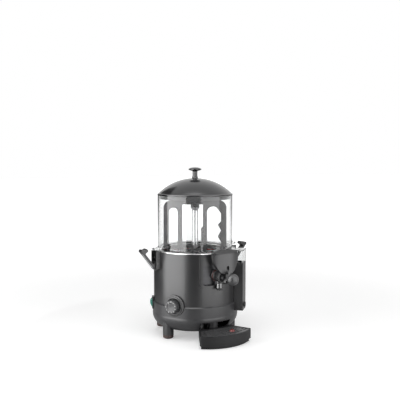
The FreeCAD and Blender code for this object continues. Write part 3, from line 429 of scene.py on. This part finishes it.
rim = {"inner": 94.0, "outer": 112.0, "low": 228.0, "high": 233.0, "roll": 1.8}
rimPiece = turnedPiece("steelRim", [
    (rim["inner"], rim["low"]), (rim["outer"], rim["low"]), (rim["outer"], rim["high"], rim["roll"]),
    (rim["inner"], rim["high"], rim["roll"])], rounding=0.4, segments=160)
settle(rimPiece, "rim_ring")

pad = {
    "places": [(99, -27), (-99, -27), (60, 88), (-60, 88)],
    "outline": [(0, 0), (12, 0), (14.5, 2.5), (14.5, 4), (13.5, 4.6), (13.5, 5.6), (14.5, 6.2), (14.5, 10),
                (0, 10)]}


def makePads():
    # one outline with a groove round it, turned about each foot's own axis
    work = bmesh.new()
    for x, y in pad["places"]:
        single = turnedPiece("pad", pad["outline"], rounding=0.9, segments=64,
                             place=Matrix.Translation((x, y, 0)))
        work.from_mesh(single.data)
        bpy.data.objects.remove(single)
    mesh = bpy.data.meshes.new("rubberPads")
    work.to_mesh(mesh)
    work.free()
    return finishMesh("rubberPads", mesh)


settle(makePads(), "foot_pads")


# Bowl and lid

bowl = {"radius": 104.0, "wall": 4.0, "shoulder": 233.0, "top": 382.0, "neckOuter": 93.0, "neckInner": 90.0,
        "neckLow": 211.0, "grooveLow": 213.0, "grooveHigh": 218.0, "groove": 91.8,
        "corner": 6.0, "rimRound": 1.4, "floorRound": 1.5, "neckRound": 0.3, "grooveRound": 0.2,
        "lugReach": 131.0, "lugHalf": 9.0, "lugLow": 236.5, "lugHigh": 242.3, "lugGap": 0.1, "lugRound": 1.6}


def makeBowl():
    # the wall's outline, from the neck with its gasket groove out to the shoulder, up, over and back inside
    b = bowl
    inner = b["radius"] - b["wall"]
    floor = b["shoulder"] + b["wall"]
    outline = [
        (b["neckInner"], b["neckLow"]), (b["neckOuter"], b["neckLow"]),
        (b["neckOuter"], b["grooveLow"], b["grooveRound"]), (b["groove"], b["grooveLow"], b["grooveRound"]),
        (b["groove"], b["grooveHigh"], b["grooveRound"]), (b["neckOuter"], b["grooveHigh"], b["grooveRound"]),
        (b["neckOuter"], b["shoulder"], b["neckRound"]), (b["radius"], b["shoulder"], b["corner"]),
        (b["radius"], b["top"], b["rimRound"]), (inner, b["top"], b["rimRound"]),
        (inner, floor, b["corner"]), (b["neckInner"], floor, b["floorRound"])]
    return turnedPiece("clearBowlShell", outline, rounding=0.8, segments=192, steps=7)


def roundedBox(name, low, high, rounding, place=None):
    # a box whose corners follow a rounded cube: each point is pushed out from an inner core by the rounding
    size = 9  # points along each side of a face
    t = np.linspace(-1, 1, size)
    centre, half = (np.array(low) + high) / 2, (np.array(high) - low) / 2
    work = bmesh.new()
    for axis in range(3):
        for side in (-1, 1):
            u, v = np.meshgrid(t, t, indexing="ij")
            cube = np.empty((size, size, 3))
            cube[..., axis] = side
            cube[..., (axis + 1) % 3] = u
            cube[..., (axis + 2) % 3] = v
            surface = cube * half
            core = np.clip(surface, -(half - rounding), half - rounding)
            away = surface - core
            length = np.maximum(np.linalg.norm(away, axis=-1, keepdims=True), 1e-9)  # never zero
            grid = core + away / length * rounding + centre
            if place is not None:
                grid = placed(grid, place)
            face = gridPiece("face", grid, False, False)
            work.from_mesh(face.data)
            bpy.data.objects.remove(face)
    mesh = bpy.data.meshes.new(name)
    work.to_mesh(mesh)
    work.free()
    return finishMesh(name, mesh)


def joinedPieces(name, pieces):
    # one mesh out of several, whose own objects are removed
    work = bmesh.new()
    for piece in pieces:
        work.from_mesh(piece.data)
        bpy.data.objects.remove(piece)
    mesh = bpy.data.meshes.new(name)
    work.to_mesh(mesh)
    work.free()
    mesh.shade_smooth()
    piece = bpy.data.objects.new(name, mesh)
    bpy.context.scene.collection.objects.link(piece)
    return piece


settle(makeBowl(), "bowl")
lugs = []
for side in (-1, 1):
    edges = sorted((side * (bowl["radius"] + bowl["lugGap"]), side * bowl["lugReach"]))
    lugs.append(roundedBox("lug", (edges[0], -bowl["lugHalf"], bowl["lugLow"]),
                           (edges[1], bowl["lugHalf"], bowl["lugHigh"]), bowl["lugRound"]))
attach(joinedPieces("bowlLugs", lugs), "bowl", "clearBowl")

gasket = {"inner": 91.8, "outer": 93.7, "waist": 93.0, "low": 213.0, "middle": 215.5, "high": 218.0,
          "lipRound": 0.8, "waistRound": 0.5}
gasketPiece = turnedPiece("redGasket", [
    (gasket["inner"], gasket["low"]), (gasket["outer"], gasket["low"], gasket["lipRound"]),
    (gasket["waist"], gasket["middle"], gasket["waistRound"]),
    (gasket["outer"], gasket["high"], gasket["lipRound"]), (gasket["inner"], gasket["high"])],
    rounding=0.3, segments=160)
settle(gasketPiece, "bowl_gasket")

lid = {"apex": 428.0, "wall": 3.0, "skirtOuter": 99.3, "skirtLow": 371.0, "domeEdge": 101.8, "brow": 386.5,
       "innerBrow": 384.5, "domeSteps": 28, "domeRound": 0.5,
       "brim": [(99.3, 382.0, 0.3), (105.0, 382.0, 0.9), (105.0, 385.2, 1.4), (102.6, 386.1, 0.6)]}


def domeArc(edgeRadius, edgeHeight, apex, steps):
    # a circle through the edge and the apex, centred on the axis: its radius is the edge's radius squared
    # plus the rise squared, over twice the rise
    rise = apex - edgeHeight
    curve = (edgeRadius ** 2 + rise ** 2) / (2 * rise)
    r = np.linspace(edgeRadius, 0, steps)
    return [(a, apex - curve + math.sqrt(curve ** 2 - a ** 2)) for a in r]


def makeLid():
    # the dome's outer arc, its inner arc a wall below, the skirt inside the bowl and the brim that sits on it
    inner = lid["skirtOuter"] - lid["wall"]
    outside = domeArc(lid["domeEdge"], lid["brow"], lid["apex"], lid["domeSteps"])
    inside = domeArc(inner, lid["innerBrow"], lid["apex"] - lid["wall"], lid["domeSteps"])[::-1]
    outline = [(a, z, lid["domeRound"]) for a, z in outside + inside]
    outline += [(inner, lid["skirtLow"]), (lid["skirtOuter"], lid["skirtLow"])] + lid["brim"]
    return turnedPiece("domedLid", outline, rounding=0.8, segments=160, steps=3)


settle(makeLid(), "lid")

lidKnob = {
    "stem": [(0, 427.4), (9.6, 427.4, 0.6), (7.8, 430.2, 2.5), (6.6, 435.0, 3), (6.6, 447.0, 2)],
    "cap": [(14.0, 449.2, 1.5), (18.0, 451.2, 2), (18.0, 453.4, 2), (13.0, 456.2, 4), (6.3, 457.6, 4),
            (0, 458.0)]}
knobPiece = turnedPiece("mushroomKnob", lidKnob["stem"] + lidKnob["cap"], rounding=0.8, segments=96, steps=6)
settle(knobPiece, "lid_knob")
print("bowl and lid made")


# Stirrer

roundedCopy("stirringPaddle", "paddle", width=0.9)
roundedCopy("driveHead", "drive_head", width=0.8)

tube = {"radius": 8.5, "bore": 7.3, "low": 128.0, "top": 335.0}
tubePiece = turnedPiece("steelTube", [
    (tube["bore"], tube["low"]), (tube["radius"], tube["low"]), (tube["radius"], tube["top"]),
    (tube["bore"], tube["top"])], rounding=0.3, segments=96)
settle(tubePiece, "shaft_tube")

collar = {"low": 335.0, "high": 343.0,
          "flare": [(8.5, 335.0, 0.2), (9.0, 338.0, 2), (12.3, 341.4, 1), (12.3, 343.0, 0.4)]}
collarPiece = turnedPiece("flaredCollar", [
    (tube["bore"], collar["low"]), *collar["flare"], (tube["bore"], collar["high"])],
    rounding=0.4, segments=96)
settle(collarPiece, "tube_collar")
print("stirrer made")


# Tap and shield

roundedCopy("shieldPlate", "front_shield", width=1.0)
roundedCopy("shieldArm", "front_hood", width=1.6)

barrel = {
    "radius": 15.0, "height": 174.0, "back": -117.2, "ribs": 40, "ribDepth": 0.55, "ribFrom": 14.4,
    "inlet": [(8.0, 0)],
    "backBand": [(14.6, 0), (15.0, 1.2), (15.0, 3.4, 0.4), (14.1, 4.2, 0.4), (14.1, 5.4, 0.4),
                 (15.0, 6.2, 0.4)],
    "frontBand": [(15.0, 25.8, 0.5), (14.2, 26.6, 0.5), (14.2, 28.0, 0.5), (15.0, 28.8, 0.5),
                  (15.0, 31.8)],
    "bore": [(12.0, 31.8), (12.0, 2.3, 0.3), (8.0, 2.3, 0.3)]}
neck = {"y": -127.5, "radius": 9.5, "bore": 6.5, "low": 156.0, "sink": 1.2, "lowRound": 0.8}


def makeBarrel():
    # a hollow ribbed barrel turned about the tap's axis, and the short neck that its spout hangs from
    b = barrel
    outline = b["inlet"] + b["backBand"] + b["frontBand"] + b["bore"]
    main = turnedPiece("barrel", outline, rounding=0.6, segments=320,
                       flutes=(b["ribs"], b["ribDepth"], b["ribFrom"]),
                       place=alongAxis((0, -1, 0), (0, b["back"], b["height"])))
    # the neck's top sinks a little into the barrel's round underside
    top = b["height"] - math.sqrt(b["radius"] ** 2 - neck["radius"] ** 2) + neck["sink"]
    hanging = turnedPiece("neck", [
        (neck["bore"], neck["low"]), (neck["radius"], neck["low"], neck["lowRound"]), (neck["radius"], top),
        (neck["bore"], top)], rounding=0.3, segments=64, place=Matrix.Translation((0, neck["y"], 0)))
    return joinedPieces("tapBarrel", [main, hanging])


settle(makeBarrel(), "tap_body")
roundedCopy("tapNut", "tap_nut", width=0.7)
roundedCopy("tapPlunger", "tap_piston", width=0.6)
roundedCopy("pullLever", "tap_lever", width=0.6)

ball = {"centre": (0, -191, 176), "radius": 15.0, "wrap": 66.0, "steps": 26, "elbow": (0, -157, 203),
        "neck": 6.0, "neckTop": 14.8, "bore": 3.3, "boreLow": 2.0}


def makeBall():
    # a ball turned about the lever's rod, with a short collar where the rod enters
    centre, elbow = Vector(ball["centre"]), Vector(ball["elbow"])
    axis = (elbow - centre).normalized()
    turn = np.linspace(-math.pi / 2, math.radians(ball["wrap"]), ball["steps"])
    outline = [(ball["radius"] * math.cos(t), ball["radius"] * math.sin(t), 0.3) for t in turn]
    outline[0] = (0, -ball["radius"], 0.3)
    outline += [(ball["neck"], ball["neckTop"], 0.6), (ball["bore"], ball["neckTop"], 0.4),
                (ball["bore"], ball["boreLow"], 0.4), (0, ball["boreLow"], 0.2)]
    return turnedPiece("ballGrip", outline, rounding=0.4, segments=64, place=alongAxis(axis, centre), steps=3)


settle(makeBall(), "lever_knob")

sealRing = {"major": 13.4, "minor": 2.2, "y": -115.0, "z": 174.0, "around": 72, "across": 20}


def makeSealRing():
    # a circle of the small radius carried round the tap's axis
    around, across = np.meshgrid(np.linspace(0, 2 * np.pi, sealRing["around"], endpoint=False),
                                 np.linspace(0, 2 * np.pi, sealRing["across"], endpoint=False), indexing="ij")
    r = sealRing["major"] + sealRing["minor"] * np.cos(across)
    grid = np.stack([r * np.cos(around), sealRing["y"] + sealRing["minor"] * np.sin(across),
                     sealRing["z"] + r * np.sin(around)], axis=-1)
    return gridPiece("tapSeal", grid, True, True)


settle(makeSealRing(), "tap_o_ring")
print("tap made")


# Latches

roundedCopy("latchBrackets", "latch_brackets", width=0.7)
roundedCopy("rightLatchLever", "right_latch", width=0.9)
roundedCopy("leftLatchLever", "left_latch", width=0.9)

latch = {"pivotX": 123.5, "pivotZ": 201.0, "open": 38.0, "back": 14.1, "front": 14.9, "half": 7.5,
         "low": -4.0, "high": 46.0, "round": 0.39}


def makeLatchSheen(name, body, turn):
    # a lighter strip on the lever's outer face, a painted sheen for the light that face catches, drawn closed
    # and then opened
    strip = roundedBox(name, (latch["back"], -latch["half"], latch["low"]),
                       (latch["front"], latch["half"], latch["high"]), latch["round"])
    opened = Matrix.Rotation(math.radians(latch["open"]), 4, "Y")
    place = Matrix.Translation(Vector((latch["pivotX"], 0, latch["pivotZ"])) * mm) @ opened
    strip.data.transform(Matrix.Rotation(math.radians(turn), 4, "Z") @ place)
    return attach(strip, body, "latchSheenPaint")


makeLatchSheen("rightLatchSheen", "right_latch", 0)
makeLatchSheen("leftLatchSheen", "left_latch", 180)
print("latches made")


# Controls

dial = {
    "angle": -148.0, "height": 94.0, "flutes": 20, "fluteDepth": 0.9, "fluteFrom": 16.5,
    "spindle": [(0, 98.0), (3.0, 98.0), (3.0, 113.5)],
    "side": [(17.0, 113.5), (17.7, 115.0), (18.0, 129.0, 1), (17.6, 134.6, 1)],
    "face": [(15.8, 136.6, 1.2), (11.5, 136.7, 1), (10.0, 135.4, 1), (0, 135.2)]}
dialMark = {"count": 10, "first": 120.0, "sweep": 300.0, "inner": 12.6, "outer": 15.6, "half": 0.6,
            "back": 136.1, "front": 137.0, "round": 0.3, "pointer": 4.0}


def makeKnob():
    # the outline turned about the dial's own axis, which points out of the casing, with flutes round its side
    outline = dial["spindle"] + dial["side"] + dial["face"]
    return turnedPiece("dialKnob", outline, rounding=0.6, segments=160,
                       flutes=(dial["flutes"], dial["fluteDepth"], dial["fluteFrom"]),
                       place=radialPlace(dial["angle"], dial["height"]))


def makeMarks():
    # bars at equal steps of the sweep round the face; the first reaches further in and serves as the pointer
    m = dialMark
    bars = []
    place = radialPlace(dial["angle"], dial["height"])
    for i in range(m["count"]):
        turn = Matrix.Rotation(math.radians(m["first"] - i * m["sweep"] / (m["count"] - 1)), 4, "Z")
        inner = m["inner"] - m["pointer"] if i == 0 else m["inner"]
        bars.append(roundedBox("bar", (inner, -m["half"], m["back"]), (m["outer"], m["half"], m["front"]),
                               m["round"], place @ turn))
    return joinedPieces("dialMarks", bars)


settle(makeKnob(), "thermostat_knob")
attach(makeMarks(), "thermostat_knob", "markPale")
roundedCopy("dialBezel", "knob_bezel", width=1.0)
roundedCopy("switchFrame", "switch_housing", width=1.0)
roundedCopy("switchRocker", "switch_rocker", width=1.2)
print("controls made")


# Water gauge

roundedCopy("gaugeColumn", "gauge_housing", width=1.2)
roundedCopy("gaugeWindow", "gauge_glass", width=0.8)
roundedCopy("gaugeCap", "gauge_cap", width=0.8)
roundedCopy("drainPlug", "drain_plug", width=0.9)
roundedCopy("cordGland", "cable_gland", width=0.9)
print("water gauge made")


# Drip tray

roundedCopy("dripTray", "drip_tray", width=0.9)
roundedCopy("dripGrille", "drip_grille", width=0.5, segments=2)

levelFloat = {
    "place": (23.0, -154.0, 0.0),
    "outline": [(0, 2.5), (7.0, 2.5), (7.0, 32.0, 1), (5.4, 35.0, 1.5), (3.4, 36.0, 1), (0, 35.2)]}
floatPiece = turnedPiece("levelFloat", levelFloat["outline"], rounding=0.6, segments=64,
                         place=Matrix.Translation(levelFloat["place"]))
settle(floatPiece, "tray_float")
print("tray made")


# Floor, light and camera

def addSeen(tree, inShine):
    # 1 for rays from the lens and through clear pieces, and from shiny ones where that is asked for, else 0
    path = tree.nodes.new("ShaderNodeLightPath")
    direct = addMath(tree, "MAXIMUM", path.outputs["Is Camera Ray"], path.outputs["Is Transmission Ray"])
    return addMath(tree, "MAXIMUM", direct, path.outputs["Is Glossy Ray"]) if inShine else direct


floorPlan = {"reach": 14.0, "drop": 0.0005, "nearGlow": 0.36, "farGlow": 0.95, "near": 0.5, "far": 2.4,
             "colour": (0.8, 0.8, 0.8), "roughness": 0.6, "specular": 0.2}


def makeFloor():
    # a flat sheet that grows brighter away from the machine, so that its far edge melts into the background
    size = floorPlan["reach"]
    mesh = bpy.data.meshes.new("studioFloor")
    low = -floorPlan["drop"]
    corners = [(-size, -size, low), (size, -size, low), (size, size, low), (-size, size, low)]
    mesh.from_pydata(corners, [], [(0, 1, 2, 3)])
    floor = bpy.data.objects.new("studioFloor", mesh)
    bpy.context.scene.collection.objects.link(floor)
    material, tree, shader = blankMaterial("paleFloor")
    shader.inputs["Base Color"].default_value = (*floorPlan["colour"], 1)
    shader.inputs["Roughness"].default_value = floorPlan["roughness"]
    shader.inputs["Specular IOR Level"].default_value = floorPlan["specular"]
    shader.inputs["Emission Color"].default_value = (1, 1, 1, 1)
    coord = tree.nodes.new("ShaderNodeTexCoord")
    length = tree.nodes.new("ShaderNodeVectorMath")
    length.operation = "LENGTH"
    tree.links.new(coord.outputs["Object"], length.inputs[0])
    fade = tree.nodes.new("ShaderNodeMapRange")
    fade.interpolation_type = "SMOOTHSTEP"
    fade.inputs["From Min"].default_value = floorPlan["near"]
    fade.inputs["From Max"].default_value = floorPlan["far"]
    fade.inputs["To Min"].default_value = floorPlan["nearGlow"]
    fade.inputs["To Max"].default_value = floorPlan["farGlow"]
    tree.links.new(length.outputs["Value"], fade.inputs["Value"])
    glow = addMath(tree, "MULTIPLY", addSeen(tree, False), fade.outputs["Result"])
    tree.links.new(glow, shader.inputs["Emission Strength"])
    mesh.materials.append(material)


room = {"colour": (1, 1, 1), "glow": 0.4}


def makeWorld():
    # white where it is looked at, and a dimmer light on everything else
    world = bpy.data.worlds.new("studio")
    bpy.context.scene.world = world
    world.use_nodes = True
    tree = world.node_tree
    background = tree.nodes["Background"]
    background.inputs["Color"].default_value = (*room["colour"], 1)
    glow = addMath(tree, "MAXIMUM", addSeen(tree, True), room["glow"])
    tree.links.new(glow, background.inputs["Strength"])


cards = {"radius": 0.5, "low": 0.002, "high": 0.95, "steps": 24, "colour": (0.02, 0.02, 0.02)}
cardSpans = {  # the azimuths that each card runs between, and its glow
    "flagBehindLeft": (-175, -116, 0.05), "softLeft": (-114, -54, 6.6), "flagFront": (-52, -16, 0.0),
    "softRight": (-14, 42, 3.6), "softFarRight": (44, 90, 0.8)}


def addCard(name, start, end, glow):
    # part of a round wall about the machine that only shiny surfaces see: a soft box where it glows, a flag
    # where it is dark; the angle runs from one azimuth to the other, and the height is the other parameter
    turn = np.radians(np.linspace(start, end, cards["steps"]))
    ring = np.stack([np.sin(turn), -np.cos(turn)], axis=-1) * cards["radius"]
    low = np.column_stack([ring, np.full(len(turn), cards["low"])])
    high = np.column_stack([ring, np.full(len(turn), cards["high"])])
    count = len(turn)
    faces = [(i, i + 1, count + i + 1, count + i) for i in range(count - 1)]
    mesh = bpy.data.meshes.new(name)
    mesh.from_pydata(np.vstack([low, high]).tolist(), [], faces)
    card = bpy.data.objects.new(name, mesh)
    bpy.context.scene.collection.objects.link(card)
    material, tree, shader = blankMaterial(name)
    shader.inputs["Base Color"].default_value = (*cards["colour"], 1)
    shader.inputs["Roughness"].default_value = 1.0
    shader.inputs["Specular IOR Level"].default_value = 0.0
    shader.inputs["Emission Color"].default_value = (1, 1, 1, 1)
    shader.inputs["Emission Strength"].default_value = glow
    mesh.materials.append(material)
    card.visible_camera = False
    card.visible_diffuse = False
    card.visible_transmission = False
    card.visible_shadow = False


camera = {"azimuth": -30.0, "distance": 1.65, "height": 0.475, "focal": 595.0, "frame": 400.0,
          "sensor": 36.0, "horizon": 161.0, "axis": 195.0, "clipEnd": 60.0}


def makeCamera():
    # pitch and yaw put the horizon and the machine's axis at their rows and columns of the frame
    a = math.radians(camera["azimuth"])
    data = bpy.data.cameras.new("productCamera")
    data.sensor_width = camera["sensor"]
    data.lens = camera["focal"] / camera["frame"] * camera["sensor"]
    data.clip_end = camera["clipEnd"]
    shot = bpy.data.objects.new("productCamera", data)
    bpy.context.scene.collection.objects.link(shot)
    shot.location = (math.sin(a) * camera["distance"], -math.cos(a) * camera["distance"], camera["height"])
    pitch = math.atan((camera["frame"] / 2 - camera["horizon"]) / camera["focal"])
    yaw = math.atan((camera["frame"] / 2 - camera["axis"]) / camera["focal"])
    shot.rotation_euler = (math.pi / 2 - pitch, 0, a - yaw)
    bpy.context.scene.camera = shot


lampAim = 0.2  # the height that the lamps face
lamps = {
    "leftPanel": dict(azimuth=-94, distance=1.6, height=0.62, width=1.0, tall=1.2, power=11),
    "rightPanel": dict(azimuth=26, distance=1.7, height=0.62, width=1.0, tall=1.2, power=9),
    "topPanel": dict(azimuth=-30, distance=0.5, height=1.7, width=1.0, tall=1.0, power=9),
}


def addPanel(name, azimuth, distance, height, width, tall, power):
    # a soft box that stands at an azimuth round the machine and faces it
    a = math.radians(azimuth)
    data = bpy.data.lights.new(name, "AREA")
    data.shape = "RECTANGLE"
    data.size = width
    data.size_y = tall
    data.energy = power
    lamp = bpy.data.objects.new(name, data)
    bpy.context.scene.collection.objects.link(lamp)
    lamp.location = (math.sin(a) * distance, -math.cos(a) * distance, height)
    away = Vector((0, 0, lampAim)) - lamp.location
    lamp.rotation_euler = away.to_track_quat("-Z", "Y").to_euler()
    lamp.visible_camera = False


makeFloor()
makeWorld()
makeCamera()
for lampName, lampValues in lamps.items():
    addPanel(lampName, **lampValues)
for cardName, cardSpan in cardSpans.items():
    addCard(cardName, *cardSpan)
print("floor, camera, lamps and cards set")
bpy.context.scene.view_settings.view_transform = "Standard"
